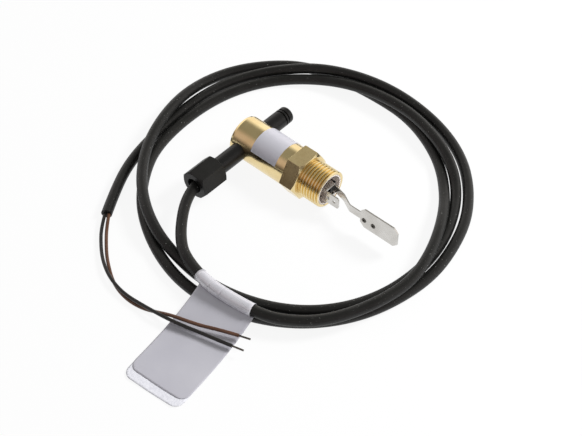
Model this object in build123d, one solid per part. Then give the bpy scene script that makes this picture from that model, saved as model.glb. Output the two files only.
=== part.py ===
from build123d import *
import math
import os

os.makedirs("parts", exist_ok=True)

# Paddle flow switch. Millimetres, +Z up, laid on its side on a flat surface.
# It is modelled from the body's top end along X, with the axis at height zero, and moved to its place last.
# The thread and the paddle point along +X, the cable gland along -Y.

# Brass body
body_diameter = 23.0
shank_length = 37.3
end_chamfer_length = 1.2
end_chamfer_depth = 0.35
hex_across = 24.0
hex_length = 9.3
hex_shank_circle = 27.0
hex_face_circle = 23.4
hex_chamfer_angle = 30.0
hex_turn = 30.0
neck_diameter = 20.2
seat_relief_diameter = 21.3
seat_relief_depth = 0.2
neck_length = 1.2

# Pipe thread, G 1/2
crest_diameter = 20.955
thread_pitch = 1.814
thread_depth = 1.162
thread_length = 12.5
thread_end_chamfer = 0.35
thread_land = 0.5
groove_root = 0.3
groove_lead = 0.4
groove_margin = 0.1
groove_outside = 0.3

# Hollows of the body
bore_diameter = 17.6
bore_floor = 13.3
mouth_chamfer = 0.3
cross_bore_place = 6.2
pocket_depth = 1.0

# Small pieces fitted to the body
clamp_screw_diameter = 2.9
clamp_screw_length = 5.0
clamp_socket_across = 1.5
clamp_socket_depth = 1.3
reset_magnet_diameter = 5.0
reset_magnet_length = 2.0
reset_magnet_offset = -3.5
label_start = 14.3
label_width = 17.0
label_from_angle = -15.0
label_to_angle = 154.0
label_thickness = 0.12

# Hinge bracket in the mouth of the body
ring_place = 46.0
ring_thickness = 1.5
cup_wall = 0.8
cup_setback = 0.3
window_top = 4.0
sheet = 0.8
channel_width = 7.6
channel_outer_bend = 0.5
web_outside = -4.9
flange_top = 2.6
flange_end = 61.5
tab_width = 7.3
tab_end = 70.0
tab_corner = 1.2
tab_hole_diameter = 2.0
tab_hole_places = (63.1, 67.1)
hinge_place = 59.4
hinge_height = 1.1
pin_diameter = 1.5
pin_head_diameter = 2.6
pin_head_thickness = 0.6
pin_tail = 0.3
clip_diameter = 3.2
clip_thickness = 0.5
spacer_diameter = 2.2

# Lever
block_start = 58.0
block_end = 60.8
block_bottom = -0.2
block_top = 3.7
block_low = -1.8
side_play = 0.2
arm_thickness = 0.6
arm_width = 4.8
arm_height = 2.7
arm_start = 16.5
arm_bend_place = 61.6
arm_knee = (69.0, 0.95)
arm_paddle_bend_place = 75.9
arm_paddle_end = 95.0
arm_bend_radius = 3.0
lever_magnet_length = 5.0
lever_magnet_width = 4.4
lever_magnet_thickness = 3.5
arm_rivet_diameter = 1.0
arm_rivet_head_diameter = 1.6
arm_rivet_heights = (-0.8, 1.8)
arm_rivet_head = 0.3
arm_rivet_depth = 0.35

# Paddle
paddle_start = 83.7
paddle_end = 107.7
paddle_width = 13.0
paddle_offset = 0.5
paddle_thickness = 0.8
paddle_face = -3.8
paddle_corner = 2.6
paddle_rivet_places = (86.2, 92.1)
paddle_rivet_height = -1.0
paddle_rivet_diameter = 1.8
paddle_rivet_head_diameter = 2.8
paddle_rivet_near_head = 0.15
paddle_rivet_far_head = 0.6
paddle_rivet_dimple_diameter = 1.3
paddle_rivet_dimple = 0.9

# Reed switch unit across the body
tube_diameter = 9.6
tube_inside = 6.6
tube_low = -34.0
tube_high = 21.6
cap_groove_diameter = 8.2
cap_lower_groove = 0.9
cap_flange = 1.0
cap_upper_groove = 0.9
cap_dome_diameter = 9.4
cap_dome = 3.4
cap_dome_rounding = 1.6
cap_spigot = 3.0
glass_diameter = 2.4
glass_length = 14.0
glass_centre = -2.0
glass_rounding = 0.96
board_width = 4.0
board_thickness = 1.0
board_low = -24.0
board_high = 12.0
board_top = -1.2
reed_lead_diameter = 0.6
reed_lead_length = 4.0
reed_lead_bend = 0.7
inner_lead_diameter = 1.2
inner_lead_spacing = 1.9
inner_lead_end = -19.0

# Cable gland
nut_across = 15.0
nut_top = -28.0
nut_end = -44.5
nut_turn = -10.0
nut_floor = 3.5
nut_mouth_diameter = 8.6
nut_end_circle = 14.6
nut_chamfer_angle = 40.0
washer_thickness = 1.0
washer_inside = 6.2
washer_diameter = 9.4
seal_diameter = 9.5

# Cable and conductors
cable_diameter = 5.8
cable_start = -33.0
cable_first_corner = -42.15
core_diameter = 1.8
tip_diameter = 1.0

# Label on the cable
sleeve_diameter = 7.0
sleeve_wall = 0.3
sleeve_margin = 6.5
sleeve_tail = 15.5
sleeve_first_corner = 6
sleeve_last_corner = 7
flag_width = 34.0
flag_length = 58.0
flag_thickness = 0.2
flag_back_extra = 3.0
flag_corner = 5.0
flag_lean = 7.0
flag_turn = 5.0
flag_root = (15.2, -76.0)
flag_side = [(3.2, 7.8), (8.0, 6.5), (20.0, 3.6), (46.0, 0.35)]
flag_bends = [20.0, 40.0, 60.0]
flag_rest = 0.35

# Clearances
running_gap = 0.05
thread_gap = 0.05
corner_margin = 0.1
corner_share = 0.45

# Places worked out from the sizes above
hex_start = shank_length
hex_end = hex_start + hex_length
thread_start = hex_end + neck_length
body_length = thread_start + thread_length
body_radius = 0.5 * body_diameter
crest_radius = 0.5 * crest_diameter
bore_radius = 0.5 * bore_diameter
cross_bore_radius = 0.5 * tube_diameter + running_gap
ring_end = ring_place + ring_thickness
cup_end = body_length - cup_setback
half_channel = 0.5 * channel_width
half_inside = half_channel - sheet
web_inside = web_outside + sheet
arm_bottom = arm_height - 0.5 * arm_thickness
arm_top = arm_height + 0.5 * arm_thickness
paddle_back = paddle_face + paddle_thickness
arm_low_middle = paddle_back + 0.5 * arm_thickness
pin_radius = 0.5 * pin_diameter
hexagon_ratio = 1 / math.cos(math.radians(30))
nut_corner = 0.5 * nut_across * hexagon_ratio
nut_reach = nut_corner * math.cos(math.radians(nut_turn))
cap_top = tube_high + cap_lower_groove + cap_flange + cap_upper_groove + cap_dome
cable_radius = 0.5 * cable_diameter

# Where the origin is, under the middle of everything but the free cable
axis_height = 0.5 * hex_across
place_x = -0.5 * (paddle_end + cross_bore_place - nut_reach)
place_y = -0.5 * (nut_end + cap_top)
place = Pos(place_x, place_y, axis_height)
gland_x = place_x + cross_bore_place

# Route of the cable on the surface, from the gland through two and a half loose turns to its stripped end
cable_route = [
    (gland_x, place_y + cable_start, axis_height),
    (gland_x, place_y + cable_first_corner, axis_height),
    (-44.1, -42.6, 11.4), (-38.8, -52.0, 11.0), (-28.3, -64.5, 10.6), (-17.3, -72.5, 10.4),
    (2.2, -76.8, 9.8), (15.7, -76.2, 9.5), (34.2, -73.5, 9.1), (45.7, -68.2, 8.9),
    (57.7, -58.0, 8.9), (66.2, -44.0, 8.9), (72.7, -26.0, 9.0), (75.2, -7.5, 9.0),
    (70.7, 12.5, 9.0), (62.2, 32.0, 8.3), (50.1, 50.9, 3.7), (34.7, 67.0, 2.9),
    (16.7, 78.0, 2.9), (-3.3, 85.0, 2.9), (-25.3, 86.0, 2.9), (-49.8, 84.0, 2.9),
    (-71.3, 78.5, 2.9), (-86.8, 66.0, 2.9), (-98.8, 49.5, 2.9), (-103.8, 30.5, 4.4),
    (-101.8, 9.5, 8.2), (-96.3, -11.5, 9.1), (-87.8, -30.0, 9.0), (-75.3, -46.5, 9.0),
    (-59.8, -59.5, 9.0), (-41.3, -69.0, 8.7), (-25.3, -71.8, 4.9), (-5.8, -73.0, 2.9),
    (15.2, -70.0, 2.9), (34.2, -62.5, 2.9), (49.7, -51.0, 2.9), (61.2, -36.0, 2.9),
    (68.6, -17.5, 2.9), (71.1, 4.0, 2.9), (68.6, 24.5, 2.9), (61.6, 43.0, 2.9),
    (52.2, 58.1, 3.1), (40.7, 68.5, 6.6), (25.2, 76.5, 8.9), (2.2, 83.5, 9.0),
    (-20.3, 83.5, 9.0), (-42.3, 79.5, 7.2), (-61.3, 71.4, 4.2), (-76.2, 58.4, 2.9),
    (-86.3, 40.5, 2.9), (-91.2, 19.5, 2.9), (-91.2, -4.0, 2.9), (-87.3, -24.5, 2.9),
    (-79.3, -40.0, 2.9), (-67.3, -55.0, 2.9), (-51.8, -66.7, 2.9), (-32.3, -76.2, 2.9),
    (-11.8, -81.2, 2.9), (9.2, -80.5, 2.9), (28.7, -74.0, 2.9), (45.7, -64.0, 2.9),
    (59.2, -50.5, 2.9), (69.3, -34.0, 2.9), (75.3, -15.0, 2.9), (77.7, 6.0, 2.9),
    (74.3, 27.0, 2.9), (67.3, 47.0, 2.9), (54.8, 65.1, 2.9), (39.2, 79.5, 2.9),
    (19.7, 89.0, 3.6), (-1.3, 91.5, 7.0), (-22.8, 90.5, 8.9), (-43.8, 85.5, 9.0),
    (-61.9, 76.6, 8.7), (-77.8, 64.6, 5.8), (-90.3, 49.1, 3.4), (-97.3, 29.0, 2.9),
    (-97.9, 4.5, 2.9), (-94.8, -21.0, 2.9), (-90.3, -40.5, 2.9), (-82.3, -58.0, 2.9),
    (-72.3, -74.5, 2.9),
]

# Routes of the two conductors beyond the end of the sheath
brown_route = [
    (-71.2, -73.9, 2.9), (-66.2, -80.4, 1.5), (-59.2, -87.3, 1.0), (-52.7, -93.0, 0.9), (-46.4, -98.1, 0.9),
    (-39.0, -103.1, 0.9), (-31.2, -106.0, 0.9), (-22.7, -106.9, 0.9), (-14.7, -105.2, 0.9), (-8.0, -102.3, 2.1),
    (0.4, -99.4, 5.4), (8.8, -97.0, 5.8), (16.1, -94.8, 5.7), (23.4, -92.1, 6.0), (30.7, -89.1, 6.1),
    (34.0, -87.9, 6.2),
]
black_route = [
    (-73.0, -74.9, 2.9), (-67.7, -82.7, 2.2), (-59.6, -90.5, 1.9), (-51.9, -96.5, 2.3), (-43.0, -101.4, 2.9),
    (-33.9, -104.1, 2.9), (-25.1, -104.9, 2.9), (-15.7, -104.2, 3.4), (-6.3, -103.6, 4.5), (2.3, -102.4, 4.9),
    (10.6, -100.3, 4.8), (18.8, -98.0, 4.8), (27.1, -95.9, 4.8), (35.0, -93.8, 4.9),
]
brown_tip_end = (39.6, -85.9, 6.3)
black_tip_end = (41.0, -92.2, 5.0)


def bar_x(radius, start, end, y=0.0, z=0.0):
    """Round bar along X."""
    bar = Cylinder(radius, end - start, align=(Align.CENTER, Align.CENTER, Align.MIN))
    return Pos(start, y, z) * Rot(0, 90, 0) * bar


def bar_y(radius, start, end, x=0.0, z=0.0):
    """Round bar along Y."""
    bar = Cylinder(radius, end - start, align=(Align.CENTER, Align.CENTER, Align.MIN))
    return Pos(x, start, z) * Rot(-90, 0, 0) * bar


def bar_z(radius, start, end, x=0.0, y=0.0):
    """Round bar along Z."""
    bar = Cylinder(radius, end - start, align=(Align.CENTER, Align.CENTER, Align.MIN))
    return Pos(x, y, start) * bar


def block(x_from, x_to, y_from, y_to, z_from, z_to):
    """Rectangular block between six planes."""
    corner = (Align.MIN, Align.MIN, Align.MIN)
    return Pos(x_from, y_from, z_from) * Box(x_to - x_from, y_to - y_from, z_to - z_from, align=corner)


def turned_x(outline):
    """Solid turned about the X axis from (x, radius) points."""
    return revolve(make_face(Polyline(*outline, close=True)), axis=Axis.X)


def turned_y(outline, x):
    """Solid turned about a line along Y at the given x, from (radius, y) points."""
    return Pos(x, 0, 0) * revolve(make_face(Polyline(*outline, close=True)), axis=Axis.Y)


def corner_radii(route):
    """Radius of each corner's arc: a share of the shorter run beside it over the tangent of half the turn."""
    points = [Vector(*point) for point in route]
    radii = []
    for before, corner, after in zip(points, points[1:], points[2:]):
        turn = math.radians((corner - before).get_angle(after - corner))
        shorter = min((corner - before).length, (after - corner).length)
        radii.append(corner_share * shorter / math.tan(0.5 * turn))
    return radii


def tube_along(points, radii, radius):
    """Round tube along straight runs joined by tangent arcs."""
    path = FilletPolyline(*points, radius=radii)
    section = Plane(origin=path @ 0, z_dir=path % 0) * Circle(radius)
    return sweep(section, path=path), path.length


def cord(name, route, diameter):
    """Solid of a cord along its route, with its tightest bend printed."""
    radii = corner_radii(route)
    solid, length = tube_along(route, radii, 0.5 * diameter)
    share = solid.volume / (math.pi * 0.25 * diameter ** 2 * length)
    print(name, "length", round(length), "least radius", round(min(radii), 1), "volume share", round(share, 4))
    return solid


def thread_groove(turns):
    """Cutter of a helical groove along Z, a number of turns long."""
    middle = crest_radius - 0.5 * thread_depth
    helix = Helix(pitch=thread_pitch, height=turns * thread_pitch, radius=middle)
    section_plane = Plane(origin=helix @ 0, x_dir=(1, 0, 0), z_dir=helix % 0)
    half_open = 0.5 * (thread_pitch - thread_land) + groove_margin
    outside = 0.5 * thread_depth + groove_outside
    inside = -0.5 * thread_depth
    outline = Polyline(
        (outside, -half_open), (outside, half_open), (inside, 0.5 * groove_root), (inside, -0.5 * groove_root),
        close=True,
    )
    return sweep(section_plane * make_face(outline), path=helix, is_frenet=True)


def hexagon(across, start, end, turn=0.0):
    """Hexagonal bar along Z with corners on the X axis before it is turned."""
    section = Rot(0, 0, turn) * RegularPolygon(0.5 * across, 6, major_radius=False)
    return Pos(0, 0, start) * extrude(section, amount=end - start)


def body_outline():
    """Points of the turned shank, neck and thread blank."""
    lead = crest_radius - 0.5 * neck_diameter
    return [
        (0, 0), (0, body_radius - end_chamfer_depth), (end_chamfer_length, body_radius), (hex_start, body_radius),
        (hex_start, 0.5 * neck_diameter), (thread_start, 0.5 * neck_diameter), (thread_start + lead, crest_radius),
        (body_length - thread_end_chamfer, crest_radius),
        (body_length, crest_radius - thread_end_chamfer), (body_length, 0),
    ]


def body_hexagon():
    """Spanner hexagon with both faces turned down at its corners."""
    corner = 0.5 * hex_across * hexagon_ratio + corner_margin
    slope = math.tan(math.radians(hex_chamfer_angle))
    back = (corner - 0.5 * hex_shank_circle) * slope
    front = (corner - 0.5 * hex_face_circle) * slope
    turned = turned_x([
        (hex_start, 0), (hex_start, 0.5 * hex_shank_circle), (hex_start + back, corner),
        (hex_end - front, corner), (hex_end, 0.5 * hex_face_circle), (hex_end, 0),
    ])
    prism = Rot(0, 90, 0) * hexagon(hex_across, hex_start, hex_end, hex_turn)
    return prism & turned


def sensor_body():
    """Brass body: shank, hexagon and threaded end, with its bores."""
    solid = turned_x(body_outline()) + body_hexagon()
    first = thread_start - groove_lead
    turns = math.ceil((body_length - first) / thread_pitch)
    for turn in range(turns):
        groove = Pos(first + turn * thread_pitch, 0, 0) * Rot(0, 90, 0) * thread_groove(1.0)
        solid = solid - groove
    relief = bar_x(0.5 * seat_relief_diameter, hex_end - seat_relief_depth, hex_end)
    solid -= relief - bar_x(0.5 * neck_diameter, hex_end - 1, hex_end + 1)
    solid -= bar_x(bore_radius, bore_floor, body_length + 1)
    solid -= turned_x([
        (body_length - mouth_chamfer, 0), (body_length - mouth_chamfer, bore_radius),
        (body_length, bore_radius + mouth_chamfer), (body_length + 1, bore_radius + mouth_chamfer),
        (body_length + 1, 0),
    ])
    solid -= bar_y(cross_bore_radius, -body_diameter, body_diameter, x=cross_bore_place)
    solid -= bar_x(0.5 * reset_magnet_diameter, bore_floor - pocket_depth, bore_floor, y=reset_magnet_offset)
    solid -= bar_z(0.5 * clamp_screw_diameter + thread_gap, -body_diameter, 0, x=cross_bore_place)
    return solid


def clamp_screw():
    """Grub screw that holds the reed tube where it is set."""
    tip = -(0.5 * tube_diameter + running_gap)
    head = tip - clamp_screw_length
    screw = bar_z(0.5 * clamp_screw_diameter, head, tip, x=cross_bore_place)
    socket = Pos(cross_bore_place, 0, 0) * hexagon(clamp_socket_across, head, head + clamp_socket_depth)
    return screw - socket


def reset_magnet():
    """Disc magnet in the floor of the bore, which pushes the lever back."""
    start = bore_floor - pocket_depth
    return bar_x(0.5 * reset_magnet_diameter, start, start + reset_magnet_length, y=reset_magnet_offset)


def body_label():
    """Foil label wrapped round part of the shank."""
    strip = Pos(label_start, body_radius, 0) * Rectangle(
        label_width, label_thickness, align=(Align.MIN, Align.MIN))
    wrapped = revolve(strip, axis=Axis.X, revolution_arc=label_to_angle - label_from_angle)
    return Rot(label_from_angle, 0, 0) * wrapped


def bracket_ring():
    """Thin cup pressed into the bore, with a window for the lever in its floor."""
    window = block(ring_place - 1, ring_end + 1, web_inside, window_top, -half_inside, half_inside)
    hollow = bar_x(bore_radius - cup_wall, ring_end, cup_end + 1)
    return bar_x(bore_radius, ring_place, cup_end) - hollow - window


def hinge_bracket():
    """Folded channel on the ring, with two ears for the hinge pin and a drilled tab."""
    channel = block(ring_end, flange_end, web_outside, flange_top, -half_channel, half_channel)
    bends = channel.edges().filter_by(Axis.X).sort_by(Axis.Y)[:2]
    channel = fillet(bends, channel_outer_bend)
    channel -= block(ring_end, flange_end, web_inside, flange_top, -half_inside, half_inside)
    tab = block(flange_end, tab_end, web_outside, web_inside, -0.5 * tab_width, 0.5 * tab_width)
    tab = fillet(tab.edges().filter_by(Axis.Y).sort_by(Axis.X)[-2:], tab_corner)
    solid = channel + tab
    for hole_place in tab_hole_places:
        solid -= bar_y(0.5 * tab_hole_diameter, web_outside - 1, web_inside + 1, x=hole_place)
    return solid - bar_z(pin_radius, -channel_width, channel_width, x=hinge_place, y=hinge_height)


def hinge_pin():
    """Headed pin through the two ears."""
    head_top = half_channel + pin_head_thickness
    tail = -half_channel - clip_thickness - pin_tail
    pin = bar_z(pin_radius, tail, half_channel, x=hinge_place, y=hinge_height)
    return pin + bar_z(0.5 * pin_head_diameter, half_channel, head_top, x=hinge_place, y=hinge_height)


def pin_clip():
    """Retaining ring on the pin's tail."""
    low = -half_channel - clip_thickness
    disc = bar_z(0.5 * clip_diameter, low, -half_channel, x=hinge_place, y=hinge_height)
    return disc - bar_z(pin_radius, low - 1, 0, x=hinge_place, y=hinge_height)


def hinge_spacer():
    """Ring on the pin between the lower ear and the block."""
    high = block_low - side_play
    ring = bar_z(0.5 * spacer_diameter, -half_inside, high, x=hinge_place, y=hinge_height)
    return ring - bar_z(pin_radius, -half_inside - 1, high + 1, x=hinge_place, y=hinge_height)


def arm_rivet_shanks():
    """Shanks of the two small rivets that hold the arm in its block."""
    middle = 0.5 * (block_start + block_end)
    low = arm_bottom - arm_rivet_depth
    shanks = [bar_y(0.5 * arm_rivet_diameter, low, block_top, x=middle, z=height) for height in arm_rivet_heights]
    return shanks[0] + shanks[1]


def paddle_rivet_shanks():
    """Shanks of the two rivets that hold the paddle on the arm."""
    arm_back = paddle_back + arm_thickness
    shanks = [bar_y(0.5 * paddle_rivet_diameter, paddle_face, arm_back, x=rivet_place, z=paddle_rivet_height)
              for rivet_place in paddle_rivet_places]
    return shanks[0] + shanks[1]


def pivot_block():
    """Moulded block that turns on the hinge pin, with a slot for the arm and a shoulder over one ear."""
    high = half_inside - side_play
    half_arm = 0.5 * arm_width
    solid = block(block_start, block_end, block_bottom, block_top, block_low, high)
    solid += block(block_start, block_end, arm_top, block_top, high, half_channel)
    solid -= block(block_start, block_end, arm_bottom, arm_top, -half_arm, half_arm)
    solid -= bar_z(pin_radius + running_gap, -channel_width, channel_width, x=hinge_place, y=hinge_height)
    return solid - arm_rivet_shanks()


def lever_arm():
    """One strip bent from the magnet, over the block and down to the paddle."""
    path = FilletPolyline(
        (arm_start, arm_height), (arm_bend_place, arm_height), arm_knee, (arm_paddle_bend_place, arm_low_middle),
        (arm_paddle_end, arm_low_middle), radius=arm_bend_radius,
    )
    section = Plane(origin=path @ 0, x_dir=(0, 1, 0), z_dir=(1, 0, 0)) * Rectangle(arm_thickness, arm_width)
    strip = sweep(section, path=path)
    return strip - paddle_rivet_shanks() - arm_rivet_shanks()


def arm_rivets():
    """Two rivets through the block and the arm."""
    middle = 0.5 * (block_start + block_end)
    heads = [bar_y(0.5 * arm_rivet_head_diameter, block_top, block_top + arm_rivet_head, x=middle, z=height)
             for height in arm_rivet_heights]
    return arm_rivet_shanks() + heads[0] + heads[1]


def lever_magnet():
    """Ferrite magnet under the inner end of the arm."""
    half = 0.5 * lever_magnet_width
    return block(arm_start, arm_start + lever_magnet_length, arm_bottom - lever_magnet_thickness, arm_bottom,
                 -half, half)


def paddle_plate():
    """Flat plate that the flow pushes."""
    low = paddle_offset - 0.5 * paddle_width
    solid = block(paddle_start, paddle_end, paddle_face, paddle_back, low, low + paddle_width)
    solid = chamfer(solid.edges().filter_by(Axis.Y), paddle_corner)
    return solid - paddle_rivet_shanks()


def paddle_rivets():
    """Two rivets through the paddle and the arm, with dimples on the near side and heads on both."""
    head_radius = 0.5 * paddle_rivet_head_diameter
    dimple_radius = 0.5 * paddle_rivet_dimple_diameter
    arm_back = paddle_back + arm_thickness
    near_face = paddle_face - paddle_rivet_near_head
    solid = paddle_rivet_shanks()
    for rivet_place in paddle_rivet_places:
        solid += bar_y(head_radius, near_face, paddle_face, x=rivet_place, z=paddle_rivet_height)
        solid += bar_y(head_radius, arm_back, arm_back + paddle_rivet_far_head, x=rivet_place, z=paddle_rivet_height)
        solid -= bar_y(dimple_radius, near_face - 1, near_face + paddle_rivet_dimple, x=rivet_place,
                       z=paddle_rivet_height)
    return solid


def reed_housing():
    """Tube that holds the reed switch and slides in the cross bore."""
    tube = bar_y(0.5 * tube_diameter, tube_low, tube_high, x=cross_bore_place)
    return tube - bar_y(0.5 * tube_inside, tube_low - 1, tube_high + 1, x=cross_bore_place)


def reed_end_cap():
    """Plug that closes the tube, with a flange and a domed end."""
    flange_low = tube_high + cap_lower_groove
    flange_high = flange_low + cap_flange
    dome_low = flange_high + cap_upper_groove
    groove = 0.5 * cap_groove_diameter
    dome = 0.5 * cap_dome_diameter
    solid = turned_y([
        (0, tube_high - cap_spigot), (0.5 * tube_inside, tube_high - cap_spigot), (0.5 * tube_inside, tube_high),
        (groove, tube_high), (groove, flange_low), (0.5 * tube_diameter, flange_low),
        (0.5 * tube_diameter, flange_high), (groove, flange_high), (groove, dome_low), (dome, dome_low),
        (dome, cap_top), (0, cap_top),
    ], cross_bore_place)
    return fillet(solid.edges().sort_by(Axis.Y)[-1:], cap_dome_rounding)


def reed_glass():
    """Sealed glass capsule with the reed contacts."""
    low = glass_centre - 0.5 * glass_length
    capsule = bar_y(0.5 * glass_diameter, low, low + glass_length, x=cross_bore_place)
    return fillet(capsule.edges().filter_by(GeomType.CIRCLE), glass_rounding)


def reed_lead(side):
    """Wire from one end of the capsule down to the board."""
    start = glass_centre + side * 0.5 * glass_length
    route = [
        (cross_bore_place, start, 0), (cross_bore_place, start + side * reed_lead_length, 0),
        (cross_bore_place, start + side * reed_lead_length, board_top),
    ]
    return tube_along(route, [reed_lead_bend], 0.5 * reed_lead_diameter)[0]


def reed_leads():
    """Both wires of the reed switch."""
    return reed_lead(-1) + reed_lead(1)


def reed_board():
    """Narrow board that carries the reed switch in the tube."""
    half = 0.5 * board_width
    return block(cross_bore_place - half, cross_bore_place + half, board_low, board_high,
                 board_top - board_thickness, board_top)


def inner_lead(side):
    """Conductor between the cable and the board."""
    height = board_top + 0.5 * inner_lead_diameter
    return bar_y(0.5 * inner_lead_diameter, cable_start, inner_lead_end,
                 x=cross_bore_place + side * 0.5 * inner_lead_spacing, z=height)


def gland_nut():
    """Hexagonal nut that squeezes the seal on the cable."""
    corner = nut_corner + corner_margin
    circle = 0.5 * nut_end_circle
    drop = (corner - circle) * math.tan(math.radians(nut_chamfer_angle))
    turned = turned_y([
        (0, nut_end), (circle, nut_end), (corner, nut_end + drop), (corner, nut_top - drop), (circle, nut_top),
        (0, nut_top),
    ], cross_bore_place)
    prism = Pos(cross_bore_place, 0, 0) * Rot(90, 0, 0) * hexagon(nut_across, -nut_top, -nut_end, nut_turn)
    solid = prism & turned
    thread_radius = 0.5 * tube_diameter + thread_gap
    solid -= bar_y(thread_radius, nut_end + nut_floor, nut_top + 1, x=cross_bore_place)
    return solid - bar_y(0.5 * nut_mouth_diameter, nut_end - 1, nut_top, x=cross_bore_place)


def gland_washer():
    """Flat washer between the tube's end and the seal."""
    low = tube_low - washer_thickness
    disc = bar_y(0.5 * washer_diameter, low, tube_low, x=cross_bore_place)
    return disc - bar_y(0.5 * washer_inside, low - 1, tube_low + 1, x=cross_bore_place)


def gland_seal():
    """Rubber ring squeezed on the cable."""
    high = tube_low - washer_thickness
    low = nut_end + nut_floor
    ring = bar_y(0.5 * seal_diameter, low, high, x=cross_bore_place)
    return ring - bar_y(cable_radius, low - 1, high + 1, x=cross_bore_place)


def toward(start, goal, distance):
    """Point at a distance from one route point towards another."""
    start = Vector(*start)
    run = Vector(*goal) - start
    return tuple(start + run.normalized() * distance)


def cable_sleeve():
    """Clear film wrapped round the cable, which carries the label."""
    first = cable_route[sleeve_first_corner]
    last = cable_route[sleeve_last_corner]
    points = [
        toward(first, cable_route[sleeve_first_corner - 1], sleeve_margin), first, last,
        toward(last, cable_route[sleeve_last_corner + 1], sleeve_tail),
    ]
    radii = corner_radii(cable_route)[sleeve_first_corner - 1:sleeve_last_corner]
    outer = tube_along(points, radii, 0.5 * sleeve_diameter)[0]
    inner = tube_along(points, radii, 0.5 * sleeve_diameter - sleeve_wall)[0]
    return outer - inner


def flag_sheet(length, side):
    """One layer of the label, from the sleeve over the cable and out along the surface."""
    lean = math.radians(flag_lean)
    turn = math.radians(flag_turn)
    along = Vector(math.sin(lean), -math.cos(lean), 0)
    across = Vector(math.cos(turn), math.sin(turn), 0)
    root = Vector(flag_root[0], flag_root[1], 0) - across * (0.5 * flag_width)
    path = FilletPolyline(*flag_side, (length, flag_rest), radius=flag_bends)
    profile = make_face(offset(path, amount=flag_thickness, side=side).edges())
    upright = Plane(origin=root, x_dir=along, z_dir=along.cross(Vector(0, 0, 1)))
    layer = extrude(upright * profile, amount=flag_width, dir=across)
    return fillet(layer.edges().filter_by(Axis.Z).sort_by(Axis.Y)[:2], flag_corner)


def bare_tip(route, end):
    """Stripped copper strands beyond the end of a conductor's insulation."""
    start = Vector(*route[-1])
    run = Vector(*end) - start
    section = Plane(origin=start, z_dir=run) * Circle(0.5 * tip_diameter)
    return extrude(section, amount=run.length)


def save(name, solid, placed=False):
    """Write one piece in the assembled position."""
    piece = solid if placed else place * solid
    export_step(piece, "parts/" + name + ".step")


save("sensor_body", sensor_body())
save("clamp_screw", clamp_screw())
save("reset_magnet", reset_magnet())
save("body_label", body_label())
save("bracket_ring", bracket_ring())
save("hinge_bracket", hinge_bracket())
save("hinge_pin", hinge_pin())
save("pin_clip", pin_clip())
save("hinge_spacer", hinge_spacer())
save("pivot_block", pivot_block())
save("lever_arm", lever_arm())
save("arm_rivets", arm_rivets())
save("lever_magnet", lever_magnet())
save("paddle_plate", paddle_plate())
save("paddle_rivets", paddle_rivets())
save("reed_housing", reed_housing())
save("reed_end_cap", reed_end_cap())
save("reed_glass", reed_glass())
save("reed_leads", reed_leads())
save("reed_board", reed_board())
save("inner_lead_brown", inner_lead(1))
save("inner_lead_black", inner_lead(-1))
save("gland_nut", gland_nut())
save("gland_washer", gland_washer())
save("gland_seal", gland_seal())
save("cable_sheath", cord("cable", cable_route, cable_diameter), placed=True)
save("brown_core", cord("brown core", brown_route, core_diameter), placed=True)
save("black_core", cord("black core", black_route, core_diameter), placed=True)
save("brown_tip", bare_tip(brown_route, brown_tip_end), placed=True)
save("black_tip", bare_tip(black_route, black_tip_end), placed=True)
save("label_sleeve", cable_sleeve(), placed=True)
save("label_front", flag_sheet(flag_length, Side.LEFT), placed=True)
save("label_back", flag_sheet(flag_length + flag_back_extra, Side.RIGHT), placed=True)
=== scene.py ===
import logging
import math
from dataclasses import dataclass
from enum import Enum

import bmesh
import bpy
from mathutils import Matrix, Vector


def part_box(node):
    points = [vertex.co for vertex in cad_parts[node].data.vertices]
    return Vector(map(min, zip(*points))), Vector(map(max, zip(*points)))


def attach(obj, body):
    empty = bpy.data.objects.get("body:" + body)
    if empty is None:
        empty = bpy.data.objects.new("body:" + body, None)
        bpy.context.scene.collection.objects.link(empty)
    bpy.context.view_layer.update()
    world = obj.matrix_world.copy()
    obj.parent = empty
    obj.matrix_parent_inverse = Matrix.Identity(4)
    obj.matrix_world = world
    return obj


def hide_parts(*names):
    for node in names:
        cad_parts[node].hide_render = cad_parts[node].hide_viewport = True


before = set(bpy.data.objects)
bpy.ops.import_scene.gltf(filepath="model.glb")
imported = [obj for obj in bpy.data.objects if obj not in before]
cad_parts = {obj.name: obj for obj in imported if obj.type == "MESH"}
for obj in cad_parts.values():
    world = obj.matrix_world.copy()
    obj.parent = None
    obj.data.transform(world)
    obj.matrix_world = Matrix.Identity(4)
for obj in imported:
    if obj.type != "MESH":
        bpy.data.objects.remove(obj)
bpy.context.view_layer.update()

log = logging.getLogger("flow_switch")
MM = 0.001
Colour = tuple[float, float, float, float]
Place = tuple[float, float, float]


def linear(hex_colour: str) -> Colour:
    """Turn an sRGB hex value into a linear colour.

    Args:
        hex_colour: The colour as "#rrggbb".

    Returns:
        Red, green, blue and an alpha of 1, linear.
    """
    channels = [int(hex_colour[i:i + 2], 16) / 255 for i in (1, 3, 5)]
    return (*[c / 12.92 if c <= 0.04045 else ((c + 0.055) / 1.055) ** 2.4 for c in channels], 1.0)


def grey(value: float) -> Colour:
    """Give a linear grey as a colour."""
    return (value, value, value, 1.0)


def node(tree: bpy.types.NodeTree, kind: str, settings: dict[str, object] | None = None,
         **inputs: object) -> bpy.types.Node:
    """Add a shader node with its settings and links.

    Args:
        tree: The node tree that gets the node.
        kind: The node's type name without the ShaderNode in front.
        settings: Attributes to set on the node itself.
        inputs: Values or source sockets, by socket name with spaces as underscores, or _0, _1 by place.

    Returns:
        The new node.
    """
    made = tree.nodes.new("ShaderNode" + kind)
    for name, value in (settings or {}).items():
        setattr(made, name, value)
    for name, value in inputs.items():
        by_place = name[1:].isdigit()
        socket = made.inputs[int(name[1:])] if by_place else made.inputs[name.replace("_", " ")]
        if isinstance(value, bpy.types.NodeSocket):
            tree.links.new(value, socket)
        else:
            socket.default_value = value
    return made


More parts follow.
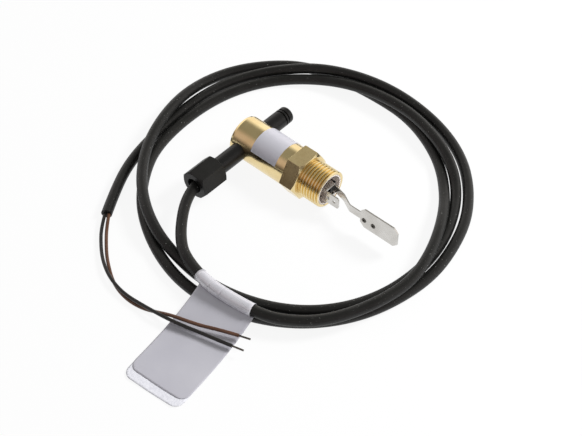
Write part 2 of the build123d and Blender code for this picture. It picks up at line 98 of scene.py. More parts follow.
def ramp(tree: bpy.types.NodeTree, factor: bpy.types.NodeSocket,
         *stops: tuple[float, Colour]) -> bpy.types.NodeSocket:
    """Run a factor through a colour ramp.

    Args:
        tree: The node tree that gets the ramp.
        factor: The socket that drives it.
        stops: Places from 0 to 1, each with a colour.

    Returns:
        The ramp's colour socket.
    """
    made = node(tree, "ValToRGB", Fac=factor)
    elements = made.color_ramp.elements
    while len(elements) < len(stops):
        elements.new(0.5)
    for element, (place, colour) in zip(elements, stops):
        element.position = place
        element.color = colour
    return made.outputs["Color"]


@dataclass(frozen=True)
class Finish:
    """A surface: what the thing is made of and how that was finished.

    Sizes of a pattern are in millimetres on the object.

    Attributes:
        name: The material's name.
        colour: Its main colour.
        shade: The colour that it drifts to.
        rough: Its roughness.
        metal: How far it is a metal.
        ior: Its index of refraction, which a metal leaves alone.
        grain: Size of the fine grain.
        grain_stretch: How much finer the grain is along X, Y and Z.
        bump: How strongly the grain shows as relief.
        bump_depth: Depth of the grain.
        rough_spread: How far the grain moves the roughness up and down.
        patch: Size of the patches in which the colour drifts.
        edge: Radius of the softened edges, 0 for none.
        drift: Between which heights of the noise the colour drifts.
        grain_ends: Between which heights of the noise the roughness moves.
        least_rough: The smoothest that the grain makes it.
    """

    name: str
    colour: str
    shade: str
    rough: float = 0.4
    metal: float = 0.0
    ior: float = 1.5
    grain: float = 1.0
    grain_stretch: Place = (1.0, 1.0, 1.0)
    bump: float = 0.1
    bump_depth: float = 0.02
    rough_spread: float = 0.08
    patch: float = 8.0
    edge: float = 0.0
    drift: tuple[float, float] = (0.35, 0.7)
    grain_ends: tuple[float, float] = (0.3, 0.7)
    least_rough: float = 0.02

    def tree(self) -> tuple[bpy.types.Material, bpy.types.NodeTree, bpy.types.Node]:
        """Make an empty material with a principled shader.

        Returns:
            The material, its node tree and its shader node.
        """
        material = bpy.data.materials.new(self.name)
        material.use_nodes = True
        tree = material.node_tree
        tree.nodes.clear()
        shader = node(tree, "BsdfPrincipled", Metallic=self.metal, Roughness=self.rough)
        if not self.metal:
            shader.inputs["IOR"].default_value = self.ior
        node(tree, "OutputMaterial", Surface=shader.outputs["BSDF"])
        return material, tree, shader

    def noise(self, tree: bpy.types.NodeTree, size: float, stretch: Place = (1.0, 1.0, 1.0),
              detail: float = 3.0) -> bpy.types.NodeSocket:
        """Give a noise over the object.

        Args:
            tree: The node tree.
            size: Size of one grain in millimetres.
            stretch: How much finer the grain is along X, Y and Z.
            detail: How many finer layers it has.

        Returns:
            The noise's height socket.
        """
        spot = node(tree, "TexCoord").outputs["Object"]
        scale = [share / (size * MM) for share in stretch]
        scaled = node(tree, "Mapping", Vector=spot, Scale=scale).outputs["Vector"]
        return node(tree, "TexNoise", Vector=scaled, Scale=1.0, Detail=detail, Roughness=0.6).outputs["Fac"]

    def paint(self, tree: bpy.types.NodeTree) -> bpy.types.NodeSocket:
        """Give the colour, which drifts slowly between the finish's two colours."""
        start, end = self.drift
        return ramp(tree, self.noise(tree, self.patch, detail=2.0), (start, linear(self.colour)),
                    (end, linear(self.shade)))

    def relief(self, tree: bpy.types.NodeTree, fine: bpy.types.NodeSocket) -> bpy.types.NodeSocket:
        """Give the normal of the grain, over edges rounded by the finish's edge size.

        Args:
            tree: The node tree.
            fine: The grain's height.

        Returns:
            A normal socket.
        """
        bump = node(tree, "Bump", Height=fine, Strength=self.bump, Distance=self.bump_depth * MM)
        if self.edge:
            rounded = node(tree, "Bevel", {"samples": 6}, Radius=self.edge * MM)
            tree.links.new(rounded.outputs["Normal"], bump.inputs["Normal"])
        return bump.outputs["Normal"]

    def make(self) -> bpy.types.Material:
        """Build the material.

        Returns:
            The finished material.
        """
        material, tree, shader = self.tree()
        fine = self.noise(tree, self.grain, self.grain_stretch)
        tree.links.new(self.paint(tree), shader.inputs["Base Color"])
        smooth = grey(max(self.least_rough, self.rough - self.rough_spread))
        dull = grey(self.rough + self.rough_spread)
        start, end = self.grain_ends
        tree.links.new(ramp(tree, fine, (start, smooth), (end, dull)), shader.inputs["Roughness"])
        tree.links.new(self.relief(tree, fine), shader.inputs["Normal"])
        return material


@dataclass(frozen=True)
class DustyFinish(Finish):
    """A smooth dark skin that holds a few pale specks of dust.

    Attributes:
        speck_size: Size of one speck in millimetres.
        speck_colour: Colour of the dust.
        speck_start: Height of the noise from which it counts as a speck.
        speck_blend: How far above that a speck is at its full cover.
        speck_cover: How much of the skin's colour a speck hides.
    """

    speck_size: float = 0.7
    speck_colour: str = "#8a8a86"
    speck_start: float = 0.74
    speck_blend: float = 0.03
    speck_cover: float = 0.8

    def paint(self, tree: bpy.types.NodeTree) -> bpy.types.NodeSocket:
        """Give the colour of the skin with its specks.

        Args:
            tree: The node tree.

        Returns:
            A colour socket.
        """
        specks = ramp(tree, self.noise(tree, self.speck_size, detail=1.0), (self.speck_start, grey(0.0)),
                      (self.speck_start + self.speck_blend, grey(self.speck_cover)))
        mix = node(tree, "Mix", {"data_type": "RGBA"}, _0=specks, _6=super().paint(tree),
                   _7=linear(self.speck_colour))
        return mix.outputs[2]


class Surface(Enum):
    """The finishes of the switch, each named for its real material."""

    # Turned brass: yellow and dulled, with fine tool marks round its axis that stretch its highlights. The
    # marks are drawn coarser than they are, so that they show.
    BRASS = Finish("turned_brass", "#efdba8", "#e6cf9a", rough=0.19, metal=1.0, grain=0.12,
                   grain_stretch=(1.0, 0.03, 0.03), bump=0.25, bump_depth=0.008, rough_spread=0.05, edge=0.18)
    # Rolled stainless sheet: pale grey with a soft lengthwise grain, drawn coarser than it is.
    STAINLESS = Finish("rolled_stainless", "#d8d6d2", "#cac7c2", rough=0.27, metal=1.0, grain=0.3,
                       grain_stretch=(0.1, 1.0, 1.0), bump=0.1, bump_depth=0.01, rough_spread=0.06, edge=0.1)
    # Drawn cup in the mouth: its colour is painted near white and warm, a painted reflection that stands in
    # for the light it takes from the brass round it.
    LINER = Finish("drawn_stainless_painted_light", "#fff6ef", "#f6ebe3", rough=0.45, metal=0.15, grain=0.3, bump=0.06,
                   bump_depth=0.01, edge=0.1)
    # Punched rivet heads: duller than the sheet round them, and darker in a painted shade that stands in for
    # the shadow in their dimples.
    RIVET = Finish("punched_stainless_painted_shade", "#77736d", "#5f5c57", rough=0.5, metal=1.0, grain=0.25, bump=0.3,
                   edge=0.1)
    # Black oxide on the grub screw: a dark metal with a dull shine.
    BLACK_STEEL = Finish("black_oxide_steel", "#3a3a3c", "#2c2c2e", rough=0.35, metal=1.0, grain=0.3)
    # Sintered ferrite: charcoal, matt and slightly gritty.
    FERRITE = Finish("sintered_ferrite", "#34353a", "#26272b", rough=0.55, grain=0.2, bump=0.3)
    # Moulded nut and block: near black, slightly textured, with softly rounded edges.
    NYLON = Finish("moulded_nylon", "#181817", "#121211", rough=0.46, ior=1.4, grain=0.35, bump=0.25,
                   bump_depth=0.03, edge=0.35)
    # Extruded tube and its plug: black with a long satin highlight.
    TUBE = Finish("satin_tube", "#141414", "#101010", rough=0.38, ior=1.38, grain=0.3, bump=0.06, edge=0.3)
    # Moulded seal: matt black rubber.
    RUBBER = Finish("seal_rubber", "#1d1d1c", "#161615", rough=0.7, grain=0.3, bump=0.2)
    # Glass fibre board with green solder mask.
    BOARD = Finish("board_laminate", "#2f6b3d", "#24572f", rough=0.45, grain=0.5)
    # Tinned copper strands: grey and dull.
    COPPER = Finish("tinned_strands", "#8c8781", "#6a655f", rough=0.38, metal=1.0, grain=0.2)
    # Extruded insulation of the conductors: smooth, with a soft shine along the wire.
    BROWN_CORE = Finish("brown_pvc", "#5f4130", "#523625", rough=0.42, grain=0.4, bump=0.08)
    BLACK_CORE = Finish("black_pvc", "#1e1d1c", "#171615", rough=0.42, grain=0.4, bump=0.08)
    # Extruded cable jacket: matt black with a little dust, in specks drawn larger than they are.
    JACKET = DustyFinish("cable_jacket_pvc", "#191918", "#131312", rough=0.45, ior=1.4, grain=0.5, bump=0.1)
    # Silver film of both labels: pale lilac grey with a satin face.
    FOIL = Finish("silver_label_film", "#c6c5cd", "#bebdc6", rough=0.36, metal=0.15, grain=2.5, bump=0.12,
                  bump_depth=0.05, patch=30.0)
    # Paper side of the flag: paler, with a fine fleck that is drawn coarser than it is.
    FILM = Finish("pale_label_film", "#ececf2", "#d8d8e0", rough=0.5, grain=0.5, bump=0.2, patch=0.9)
    # Film wrapped tight round the cable: bright, with small creases across it.
    WRAP = Finish("wrapped_label_film", "#dcdbe0", "#d2d1d8", rough=0.3, metal=0.25, grain=2.6,
                  grain_stretch=(0.12, 1.0, 1.0), bump=0.45, bump_depth=0.25, patch=20.0)
    # Drawn glass of the reed capsule: pale green and shiny.
    GLASS = Finish("capsule_glass", "#cfe0d0", "#c4d8c8", rough=0.08, grain=2.0, bump=0.02)


MATERIALS = {surface: surface.value.make() for surface in Surface}


@dataclass(frozen=True)
class CadAssembly:
    """The CAD pieces of one sub-assembly, which keep their shape and get their finish."""

    finishes: dict[str, Surface]

    def dress(self) -> None:
        """Give each piece its finish."""
        for name, surface in self.finishes.items():
            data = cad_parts[name].data
            data.materials.clear()
            data.materials.append(MATERIALS[surface])
            log.info("%s dressed as %s", name, surface.value.name)


BODY = CadAssembly({
    "sensor_body": Surface.BRASS, "body_label": Surface.FOIL, "clamp_screw": Surface.BLACK_STEEL,
    "reset_magnet": Surface.STAINLESS, "bracket_ring": Surface.LINER, "hinge_bracket": Surface.STAINLESS,
    "hinge_pin": Surface.STAINLESS, "pin_clip": Surface.STAINLESS, "hinge_spacer": Surface.STAINLESS,
})
LEVER = CadAssembly({
    "pivot_block": Surface.NYLON, "lever_arm": Surface.STAINLESS, "arm_rivets": Surface.STAINLESS,
    "lever_magnet": Surface.FERRITE, "paddle_plate": Surface.STAINLESS, "paddle_rivets": Surface.RIVET,
})
REED_UNIT = CadAssembly({
    "reed_housing": Surface.TUBE, "reed_end_cap": Surface.TUBE, "reed_glass": Surface.GLASS,
    "reed_leads": Surface.COPPER, "reed_board": Surface.BOARD, "inner_lead_brown": Surface.BROWN_CORE,
    "inner_lead_black": Surface.BLACK_CORE, "gland_nut": Surface.NYLON, "gland_washer": Surface.STAINLESS,
    "gland_seal": Surface.RUBBER,
})


# Routes of the cable and its conductors, in millimetres, each point listed one by one.
CABLE_ROUTE = [
    (-46.486, -24.65, 12.0), (-46.486, -33.8, 12.0),
    (-44.1, -42.6, 11.4), (-38.8, -52.0, 11.0), (-28.3, -64.5, 10.6), (-17.3, -72.5, 10.4),
    (2.2, -76.8, 9.8), (15.7, -76.2, 9.5), (34.2, -73.5, 9.1), (45.7, -68.2, 8.9),
    (57.7, -58.0, 8.9), (66.2, -44.0, 8.9), (72.7, -26.0, 9.0), (75.2, -7.5, 9.0),
    (70.7, 12.5, 9.0), (62.2, 32.0, 8.3), (50.1, 50.9, 3.7), (34.7, 67.0, 2.9),
    (16.7, 78.0, 2.9), (-3.3, 85.0, 2.9), (-25.3, 86.0, 2.9), (-49.8, 84.0, 2.9),
    (-71.3, 78.5, 2.9), (-86.8, 66.0, 2.9), (-98.8, 49.5, 2.9), (-103.8, 30.5, 4.4),
    (-101.8, 9.5, 8.2), (-96.3, -11.5, 9.1), (-87.8, -30.0, 9.0), (-75.3, -46.5, 9.0),
    (-59.8, -59.5, 9.0), (-41.3, -69.0, 8.7), (-25.3, -71.8, 4.9), (-5.8, -73.0, 2.9),
    (15.2, -70.0, 2.9), (34.2, -62.5, 2.9), (49.7, -51.0, 2.9), (61.2, -36.0, 2.9),
    (68.6, -17.5, 2.9), (71.1, 4.0, 2.9), (68.6, 24.5, 2.9), (61.6, 43.0, 2.9),
    (52.2, 58.1, 3.1), (40.7, 68.5, 6.6), (25.2, 76.5, 8.9), (2.2, 83.5, 9.0),
    (-20.3, 83.5, 9.0), (-42.3, 79.5, 7.2), (-61.3, 71.4, 4.2), (-76.2, 58.4, 2.9),
    (-86.3, 40.5, 2.9), (-91.2, 19.5, 2.9), (-91.2, -4.0, 2.9), (-87.3, -24.5, 2.9),
    (-79.3, -40.0, 2.9), (-67.3, -55.0, 2.9), (-51.8, -66.7, 2.9), (-32.3, -76.2, 2.9),
    (-11.8, -81.2, 2.9), (9.2, -80.5, 2.9), (28.7, -74.0, 2.9), (45.7, -64.0, 2.9),
    (59.2, -50.5, 2.9), (69.3, -34.0, 2.9), (75.3, -15.0, 2.9), (77.7, 6.0, 2.9),
    (74.3, 27.0, 2.9), (67.3, 47.0, 2.9), (54.8, 65.1, 2.9), (39.2, 79.5, 2.9),
    (19.7, 89.0, 3.6), (-1.3, 91.5, 7.0), (-22.8, 90.5, 8.9), (-43.8, 85.5, 9.0),
    (-61.9, 76.6, 8.7), (-77.8, 64.6, 5.8), (-90.3, 49.1, 3.4), (-97.3, 29.0, 2.9),
    (-97.9, 4.5, 2.9), (-94.8, -21.0, 2.9), (-90.3, -40.5, 2.9), (-82.3, -58.0, 2.9),
    (-72.3, -74.5, 2.9),
]
BROWN_ROUTE = [
    (-71.2, -73.9, 2.9), (-66.2, -80.4, 1.5), (-59.2, -87.3, 1.0), (-52.7, -93.0, 0.9),
    (-46.4, -97.4, 0.9), (-39.0, -101.9, 0.9), (-31.3, -104.6, 0.9), (-22.8, -105.5, 0.9),
    (-14.8, -104.2, 0.9), (-7.8, -102.0, 2.1), (0.8, -100.2, 5.2), (8.9, -97.9, 5.6),
    (16.1, -95.4, 5.7), (23.4, -92.1, 6.0), (30.7, -89.1, 6.1), (34.0, -87.9, 6.2),
]
BLACK_ROUTE = [
    (-73.0, -74.9, 2.9), (-67.7, -82.7, 2.2), (-59.6, -90.5, 1.9), (-51.9, -96.5, 2.3),
    (-43.0, -101.4, 2.9), (-33.9, -104.1, 2.9), (-25.1, -104.9, 2.9), (-15.7, -104.2, 3.4),
    (-6.3, -103.6, 4.5), (2.3, -102.4, 4.9), (10.6, -100.3, 4.8), (18.8, -98.0, 4.8),
    (27.1, -95.9, 4.8), (35.0, -93.8, 4.9),
]
BROWN_TIP_END = (39.6, -85.9, 6.3)
BLACK_TIP_END = (41.0, -92.2, 5.0)


@dataclass
class Cord:
    """A free cable or conductor that follows its route on one smooth curve. Lengths are in millimetres.

    Attributes:
        name: The piece's name.
        node: The CAD node that it replaces.
        surface: Its finish.
        diameter: Its outer diameter.
        length: Its real length along the route; not used.
        route: The points that it follows, from where it comes out to its far end.
        far_end: What its far end is; not used.
        body: The body that it rides on.
        steps_along: Faces between two points of the route.
        steps_round: Faces in half of its round.
    """

    name: str
    node: str
    surface: Surface
    diameter: float
    length: float
    route: list[Place]
    far_end: str = "bare"
    body: str = "reed_unit"
    steps_along: int = 8
    steps_round: int = 8

    def build(self) -> bpy.types.Object:
        """Make the cord's curve and dress it.

        Returns:
            The curve object.
        """
        curve = bpy.data.curves.new(self.name, "CURVE")
        curve.dimensions = "3D"
        curve.resolution_u = self.steps_along
        curve.bevel_depth = 0.5 * self.diameter * MM
        curve.bevel_resolution = self.steps_round
        curve.use_fill_caps = True
        spline = curve.splines.new("NURBS")
        spline.points.add(len(self.route) - 1)
        for point, place in zip(spline.points, self.route):
            point.co = (*[value * MM for value in place], 1.0)
        spline.order_u = 3
        spline.use_endpoint_u = True
        piece = bpy.data.objects.new(self.name, curve)
        bpy.context.scene.collection.objects.link(piece)
        piece.data.materials.append(MATERIALS[self.surface])
        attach(piece, self.body)
        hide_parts(self.node)
        log.info("cord %s", self.name)
        return piece

    @staticmethod
    def middle_line(piece: bpy.types.Object) -> list[Vector]:
        """Read the points of a cord's smooth line.

        Args:
            piece: The cord's curve.

        Returns:
            The points in order, in metres.
        """
        bare = piece.data.copy()
        bare.bevel_depth = 0.0
        source = bpy.data.objects.new("line", bare)
        data = bpy.data.meshes.new_from_object(source)
        points = [vert.co.copy() for vert in data.vertices]
        bpy.data.objects.remove(source)
        bpy.data.meshes.remove(data)
        return points


def finished(mesh: bmesh.types.BMesh, name: str, surface: Surface, body: str) -> bpy.types.Object:
    """Turn a built mesh into a dressed piece that rides on a body.

    Args:
        mesh: The built mesh, in metres, which is used up.
        name: The piece's name.
        surface: Its finish.
        body: The body that it rides on.

    Returns:
        The piece.
    """
    bmesh.ops.recalc_face_normals(mesh, faces=mesh.faces[:])
    data = bpy.data.meshes.new(name)
    mesh.to_mesh(data)
    mesh.free()
    data.shade_smooth()
    data.materials.append(MATERIALS[surface])
    piece = bpy.data.objects.new(name, data)
    bpy.context.scene.collection.objects.link(piece)
    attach(piece, body)
    log.info("piece %s", name)
    return piece


@dataclass
class StrandedTip:
    """Bare strands at the end of a conductor, twisted round one in the middle. Lengths are in millimetres.

    Attributes:
        name: The piece's name.
        node: The CAD node that it replaces.
        start: Where the strands leave the insulation.
        end: Where they end.
        bundle: Diameter of the twisted bundle.
        turns: Turns of the twist along the tip.
        around: Strands round the middle one.
        abreast: Strands side by side across the bundle.
        strand_sides: Faces round one strand.
        steps: Faces along it.
    """

    name: str
    node: str
    start: Place
    end: Place
    bundle: float = 1.0
    turns: float = 1.1
    around: int = 6
    abreast: int = 3
    strand_sides: int = 10
    steps: int = 28

    def build(self) -> bpy.types.Object:
        """Set the strands' ends in a ring and twist them along the tip.

        Returns:
            The piece.
        """
        run = (Vector(self.end) - Vector(self.start)) * MM
        strand = 0.5 * self.bundle / self.abreast * MM
        ring = 0.5 * self.bundle * MM - strand
        mesh = bmesh.new()
        for index in range(self.around + 1):
            offset = 0.0 if index == self.around else ring
            spot = Matrix.Rotation(2 * math.pi * index / self.around, 4, "Z") @ Vector((offset, 0, 0))
            bmesh.ops.create_circle(mesh, cap_ends=True, segments=self.strand_sides, radius=strand,
                                    matrix=Matrix.Translation(spot))
        bmesh.ops.spin(mesh, geom=mesh.verts[:] + mesh.edges[:] + mesh.faces[:], cent=(0, 0, 0),
                       axis=(0, 0, 1), dvec=(0, 0, run.length / self.steps), angle=2 * math.pi * self.turns,
                       steps=self.steps, use_merge=False, use_duplicate=False)
        bmesh.ops.holes_fill(mesh, edges=[edge for edge in mesh.edges if edge.is_boundary], sides=0)
        turned = run.to_track_quat("Z", "Y").to_matrix().to_4x4()
        bmesh.ops.transform(mesh, matrix=Matrix.Translation(Vector(self.start) * MM) @ turned,
                            verts=mesh.verts[:])
        piece = finished(mesh, self.name, Surface.COPPER, "reed_unit")
        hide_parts(self.node)
        return piece


@dataclass
class CableLabel:
    """Film wrapped round the cable, with its two ends laid together as a flag. Lengths are in millimetres.

    Attributes:
        width: Width of the flag.
        front_length: How far the front layer reaches from the cable's middle line.
        back_length: How far the back layer reaches.
        thickness: Thickness of the film.
        corner: Radius of the flag's free corners.
        corner_steps: Faces in such a corner.
        root: Where the flag's middle line meets the cable's.
        lean: Degrees by which the flag leans from -Y towards +X.
        turn: Degrees by which its near edge turns from +X.
        start: Where the flag comes out from under the wrap.
        start_height: Its height there.
        landing: Where it lies down on the surface.
        rest: Its height from there on.
        sag: How much faster than a straight slope it comes down at first.
        wave: Height of its ripples.
        ripple: Radians of ripple for each millimetre across and along, and its start.
        lift: How much higher the front layer lies than the back one.
        blend: Over which length the flag follows the cable's bend.
        step: Size of the flag's faces.
        snap: How near to a cut a corner counts as on it.
        pass_height: The cable's upper turn is above this height where the label sits.
        pass_limit: That turn is on the far side of this Y.
        wrap_radius: Outer radius of the wrap.
        wrap_ends: Where along X the wrap starts and ends, from the root.
        wrap_steps: Faces in half of the wrap's round.
        creases: Where the wrap is creased, as shares of its length.
        crease_shape: A crease's places between two points of the line, each with a share of the radius.
    """

    width: float = 34.0
    front_length: float = 56.0
    back_length: float = 61.0
    thickness: float = 0.16
    corner: float = 5.0
    corner_steps: int = 8
    root: tuple[float, float] = (15.2, -76.0)
    lean: float = 7.0
    turn: float = 5.0
    start: float = 2.3
    start_height: float = 7.0
    landing: float = 46.0
    rest: float = 0.3
    sag: float = 2.6
    wave: float = 0.5
    ripple: Place = (0.21, 0.06, 0.8)
    lift: float = 0.3
    blend: float = 22.0
    step: float = 1.0
    snap: float = 0.01
    pass_height: float = 8.0
    pass_limit: float = -60.0
    wrap_radius: float = 3.4
    wrap_ends: tuple[float, float] = (-20.5, 16.5)
    wrap_steps: int = 10
    creases: tuple[float, ...] = (0.24, 0.43)
    crease_shape: tuple[tuple[float, float], ...] = ((0.3, 1.0), (0.5, 0.87), (0.7, 1.0))

    def upper_turn(self, line: list[Vector]) -> list[Vector]:
        """Pick the points of the turn that the label sits on.

        Args:
            line: The cable's middle line, in metres.

        Returns:
            Its points on the near side of the coil that lie over another turn.
        """
        return [point for point in line if point.z > self.pass_height * MM and point.y < self.pass_limit * MM]

    def directions(self) -> tuple[Vector, Vector]:
        """Give the directions down the flag and across it."""
        lean, turn = math.radians(self.lean), math.radians(self.turn)
        return Vector((math.sin(lean), -math.cos(lean), 0)), Vector((math.cos(turn), math.sin(turn), 0))

    def cling(self, line: list[Vector], across: float, along: float) -> float:
        """Give how far the film's edge is drawn along with the cable's bend.

        Args:
            line: The points of the turn that the label sits on, in metres.
            across: Distance from the flag's middle line.
            along: Distance from the cable.

        Returns:
            The shift outward in millimetres, which fades out down the flag.
        """
        outward, sideways = self.directions()
        spot = Vector((*self.root, 0)) + sideways * across
        near = min(line, key=lambda point: abs((point / MM - spot).dot(sideways)))
        fade = max(0.0, 1 - (along - self.start) / self.blend)
        return (near / MM - spot).dot(outward) * fade * fade * (3 - 2 * fade)

    def height(self, across: float, along: float) -> float:
        """Give the film's height over the surface.

        Args:
            across: Distance from the flag's middle line.
            along: Distance from the cable.

        Returns:
            The height in millimetres.
        """
        share = max(0.0, min(1.0, (self.landing - along) / (self.landing - self.start)))
        per_across, per_along, phase = self.ripple
        ripple = 0.5 + 0.5 * math.sin(per_across * across + per_along * along + phase)
        slope = (self.start_height - self.rest) * share ** self.sag
        return self.rest + slope + self.wave * (1 - share) * ripple

    def flat_layer(self, length: float) -> bmesh.types.BMesh:
        """Cut one layer of the flag flat, with X across it and Y down it.

        Args:
            length: Its length from the cable.

        Returns:
            The mesh in millimetres, in small faces that can bend.
        """
        mesh = bmesh.new()
        half = Matrix.Diagonal((0.5 * self.width, 0.5 * (length - self.start), 1, 1))
        middle = Matrix.Translation((0, 0.5 * (length + self.start), 0))
        bmesh.ops.create_grid(mesh, x_segments=1, y_segments=1, size=1, matrix=middle @ half)
        free = [vert for vert in mesh.verts if vert.co.y > 0.5 * length]
        bmesh.ops.bevel(mesh, geom=free, offset=self.corner, segments=self.corner_steps, profile=0.5,
                        affect="VERTICES", material=-1)
        for normal, reach in (((1, 0, 0), self.width), ((0, 1, 0), length)):
            cuts = int(reach / self.step)
            for count in range(-cuts, cuts + 1):
                bmesh.ops.bisect_plane(mesh, geom=mesh.verts[:] + mesh.edges[:] + mesh.faces[:],
                                       dist=self.snap, plane_co=Vector(normal) * count * self.step,
                                       plane_no=normal)
        return mesh

    def layer(self, line: list[Vector], name: str, node_name: str, surface: Surface, length: float,
              lift: float) -> bpy.types.Object:
        """Make one layer of the flag.

        Args:
            line: The points of the turn that the label sits on, in metres.
            name: The piece's name.
            node_name: The CAD node that it replaces.
            surface: Its finish.
            length: Its length from the cable.
            lift: How much higher it lies than the lower layer.

        Returns:
            The piece.
        """
        mesh = self.flat_layer(length)
        outward, sideways = self.directions()
        root = Vector((*self.root, 0))
        for vert in mesh.verts:
            across, along = vert.co.x, vert.co.y
            place = root + outward * (along + self.cling(line, across, along)) + sideways * across
            place.z = self.height(across, along) + lift
            vert.co = place * MM
        piece = finished(mesh, name, surface, "reed_unit")
        if sum(face.normal.z for face in piece.data.polygons) < 0:
            piece.data.flip_normals()
        thick = piece.modifiers.new("thickness", "SOLIDIFY")
        thick.thickness = self.thickness * MM
        thick.offset = 1.0
        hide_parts(node_name)
        return piece

    def wrap(self, line: list[Vector]) -> bpy.types.Object:
        """Wrap the film round the cable, with its creases.

        Args:
            line: The points of the turn that the label sits on, in metres.

        Returns:
            The piece.
        """
        middle = self.root[0] * MM
        low, high = (value * MM for value in self.wrap_ends)
        covered = [point for point in line if low < point.x - middle < high]
        creased = [round(crease * len(covered)) for crease in self.creases]
        stations = []
        for index, place in enumerate(covered):
            stations.append((place, 1.0))
            if index in creased:
                after = covered[index + 1]
                stations += [(place.lerp(after, share), radius) for share, radius in self.crease_shape]
        curve = bpy.data.curves.new("label_wrap", "CURVE")
        curve.dimensions = "3D"
        curve.bevel_depth = self.wrap_radius * MM
        curve.bevel_resolution = self.wrap_steps
        spline = curve.splines.new("POLY")
        spline.points.add(len(stations) - 1)
        for point, (place, radius) in zip(spline.points, stations):
            point.co = (*place, 1.0)
            point.radius = radius
        source = bpy.data.objects.new("label_wrap_line", curve)
        mesh = bmesh.new()
        mesh.from_mesh(bpy.data.meshes.new_from_object(source))
        bpy.data.objects.remove(source)
        bmesh.ops.solidify(mesh, geom=mesh.faces[:], thickness=self.thickness * MM)
        piece = finished(mesh, "label_wrap", Surface.WRAP, "reed_unit")
        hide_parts("label_sleeve")
        return piece

    def build(self, line: list[Vector]) -> list[bpy.types.Object]:
        """Make the wrap and both layers of the flag.

        Args:
            line: The cable's middle line, in metres.

        Returns:
            The three pieces.
        """
        turn = self.upper_turn(line)
        return [
            self.wrap(turn),
            self.layer(turn, "flag_front", "label_front", Surface.FOIL, self.front_length, self.lift),
            self.layer(turn, "flag_back", "label_back", Surface.FILM, self.back_length, 0.0),
        ]


@dataclass
class Harness:
    """The cable with its label, its two conductors and their bare ends. Lengths are in millimetres."""

    cable_diameter: float = 5.8
    cable_length: float = 1617.0
    core_diameter: float = 1.8
    brown_length: float = 121.0
    black_length: float = 120.0

    def build(self) -> None:
        """Lay the cords and what is on them."""
        brown_tip = StrandedTip("brown_strands", "brown_tip", BROWN_ROUTE[-1], BROWN_TIP_END).build()
        black_tip = StrandedTip("black_strands", "black_tip", BLACK_ROUTE[-1], BLACK_TIP_END).build()
        cable = Cord("cable", "cable_sheath", Surface.JACKET, self.cable_diameter, self.cable_length,
                     CABLE_ROUTE)
        curve = cable.build()
        CableLabel().build(cable.middle_line(curve))
        brown = Cord("brown_conductor", "brown_core", Surface.BROWN_CORE, self.core_diameter,
                     self.brown_length, BROWN_ROUTE)
        brown.build()
        black = Cord("black_conductor", "black_core", Surface.BLACK_CORE, self.core_diameter,
                     self.black_length, BLACK_ROUTE)
        black.build()


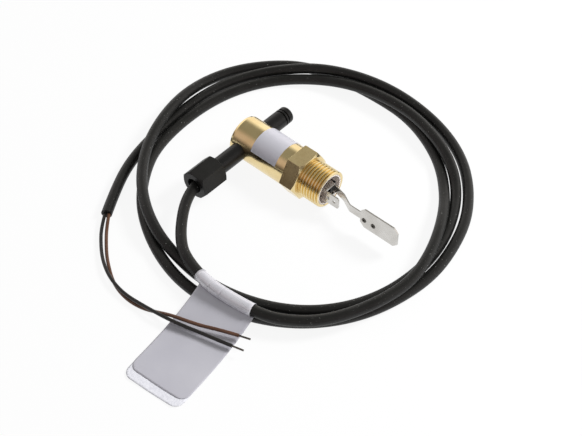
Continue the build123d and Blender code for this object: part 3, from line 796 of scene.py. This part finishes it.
@dataclass(frozen=True)
class Studio:
    """Camera, floor and light of the picture. Lengths are in millimetres, angles in degrees.

    Attributes:
        azimuth: Direction in which the camera looks, from +Y towards -X.
        elevation: How far it looks down.
        distance: How far it stands from what it looks at.
        aim_right: How far that is to the right of the body's top end.
        aim_up: How far it is above the body's top end.
        picture_width: Width of the picture in pixels.
        focal_pixels: Focal length in pixels of the picture.
        sensor: Width of the camera's sensor.
        floor_size: Side of the floor.
        floor_glow: How much of the floor is plain white where the camera or a shiny thing sees it.
        lamp_place: Where the lamp hangs, behind the object and to the right.
        lamp_size: Side of the lamp.
        lamp_power: Power of the lamp in watts.
        ambient: Strength of the even light.
        back: Direction of the bright side of the room that shiny things see.
        ceiling: Colour of that room's ceiling.
        bright_wall: Colour of its wall behind the object.
        near_floor: Colour low down on the camera's side.
        near_wall: Colour of the wall on the camera's side.
    """

    azimuth: float = 41.929
    elevation: float = 47.899
    distance: float = 754.3
    aim_right: float = 24.83
    aim_up: float = -44.251
    picture_width: float = 582.0
    focal_pixels: float = 1417.5
    sensor: float = 36.0
    floor_size: float = 1400.0
    floor_glow: float = 0.9
    lamp_place: Place = (450.0, 600.0, 750.0)
    lamp_size: float = 280.0
    lamp_power: float = 12.0
    ambient: float = 0.45
    back: Place = (-0.3, 0.95, 0.0)
    ceiling: Colour = (0.3, 0.295, 0.27, 1.0)
    bright_wall: Colour = (1.25, 1.2, 1.15, 1.0)
    near_floor: Colour = (0.11, 0.095, 0.09, 1.0)
    near_wall: Colour = (0.62, 0.52, 0.52, 1.0)

    def camera(self) -> None:
        """Stand the camera where the photograph was taken from."""
        azimuth, elevation = math.radians(self.azimuth), math.radians(self.elevation)
        ahead = Vector((-math.sin(azimuth) * math.cos(elevation), math.cos(azimuth) * math.cos(elevation),
                        -math.sin(elevation)))
        right = Vector((math.cos(azimuth), math.sin(azimuth), 0.0))
        up = right.cross(ahead)
        low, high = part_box("sensor_body")
        top_end = Vector((low.x, 0.5 * (low.y + high.y), 0.5 * (low.z + high.z)))
        aim = top_end + (right * self.aim_right + up * self.aim_up) * MM
        data = bpy.data.cameras.new("camera")
        data.sensor_width = self.sensor
        data.lens = self.focal_pixels / self.picture_width * self.sensor
        data.clip_start, data.clip_end = 0.05, 10.0
        camera = bpy.data.objects.new("camera", data)
        bpy.context.scene.collection.objects.link(camera)
        rotation = Matrix((right, up, -ahead)).transposed().to_4x4()
        camera.matrix_world = Matrix.Translation(aim - ahead * self.distance * MM) @ rotation
        bpy.context.scene.camera = camera

    def lamp(self) -> None:
        """Hang one soft square lamp that faces the object, and that shiny things don't mirror."""
        data = bpy.data.lights.new("back_right", "AREA")
        data.size = self.lamp_size * MM
        data.energy = self.lamp_power
        lamp = bpy.data.objects.new("back_right", data)
        bpy.context.scene.collection.objects.link(lamp)
        lamp.visible_glossy = False
        lamp.location = Vector(self.lamp_place) * MM
        lamp.rotation_mode = "QUATERNION"
        lamp.rotation_quaternion = (Vector(self.lamp_place) * -1).to_track_quat("-Z", "Y")

    def floor(self) -> None:
        """Lay the white floor, which shows white and keeps a soft shadow."""
        mesh = bmesh.new()
        bmesh.ops.create_grid(mesh, x_segments=1, y_segments=1, size=0.5 * self.floor_size * MM)
        data = bpy.data.meshes.new("floor")
        mesh.to_mesh(data)
        mesh.free()
        floor = bpy.data.objects.new("floor", data)
        bpy.context.scene.collection.objects.link(floor)
        material = bpy.data.materials.new("floor_paper")
        material.use_nodes = True
        tree = material.node_tree
        tree.nodes.clear()
        paper = node(tree, "BsdfDiffuse", Color=grey(0.85))
        glow = node(tree, "Emission", Color=grey(1.0), Strength=1.0)
        path = node(tree, "LightPath")
        seen = node(tree, "Math", {"operation": "ADD"}, _0=path.outputs["Is Camera Ray"],
                    _1=path.outputs["Is Glossy Ray"])
        through = node(tree, "Math", {"operation": "ADD", "use_clamp": True}, _0=seen.outputs[0],
                       _1=path.outputs["Is Transmission Ray"])
        share = node(tree, "Math", {"operation": "MULTIPLY"}, _0=through.outputs[0], _1=self.floor_glow)
        mix = node(tree, "MixShader", _0=share.outputs[0], _1=paper.outputs[0], _2=glow.outputs[0])
        node(tree, "OutputMaterial", Surface=mix.outputs[0])
        data.materials.append(material)

    def world(self) -> None:
        """Make a soft surrounding: even light, and a room for gloss that is bright behind and dim above."""
        world = bpy.data.worlds.new("studio")
        bpy.context.scene.world = world
        world.use_nodes = True
        tree = world.node_tree
        tree.nodes.clear()
        path = node(tree, "LightPath")
        ray = node(tree, "TexCoord").outputs["Generated"]
        backward = node(tree, "VectorMath", {"operation": "DOT_PRODUCT"}, _0=ray, _1=self.back)
        spread = node(tree, "MapRange", Value=backward.outputs["Value"], From_Min=-1.0, From_Max=1.0)
        side = ramp(tree, spread.outputs[0], (0.42, grey(0.0)), (0.66, grey(1.0)))
        # A ray's Z is 0 where it is level and 1 where it goes straight up.
        upward = node(tree, "SeparateXYZ", Vector=ray).outputs["Z"]
        behind = ramp(tree, upward, (0.48, self.bright_wall), (0.73, self.ceiling))
        ahead = ramp(tree, upward, (0.12, self.near_floor), (0.42, self.near_wall), (0.66, self.near_wall),
                     (0.82, self.ceiling))
        room = node(tree, "Mix", {"data_type": "RGBA"}, _0=side, _6=ahead, _7=behind)
        soft = node(tree, "Background", Color=grey(self.ambient), Strength=1.0)
        gloss = node(tree, "Background", Color=room.outputs[2], Strength=1.0)
        white = node(tree, "Background", Color=grey(1.0), Strength=1.0)
        lit = node(tree, "MixShader", _0=path.outputs["Is Glossy Ray"], _1=soft.outputs[0],
                   _2=gloss.outputs[0])
        mix = node(tree, "MixShader", _0=path.outputs["Is Camera Ray"], _1=lit.outputs[0],
                   _2=white.outputs[0])
        node(tree, "OutputWorld", Surface=mix.outputs[0])

    def build(self) -> None:
        """Set up the whole studio."""
        self.camera()
        self.floor()
        self.world()
        self.lamp()
        bpy.context.scene.view_settings.view_transform = "Standard"


def main() -> None:
    """Set up the camera and the light, lay the cable, and dress the pieces that CAD made."""
    Studio().build()
    Harness().build()
    for assembly in (BODY, LEVER, REED_UNIT):
        assembly.dress()


if __name__ == "__main__":
    logging.basicConfig(level=logging.INFO)
    main()
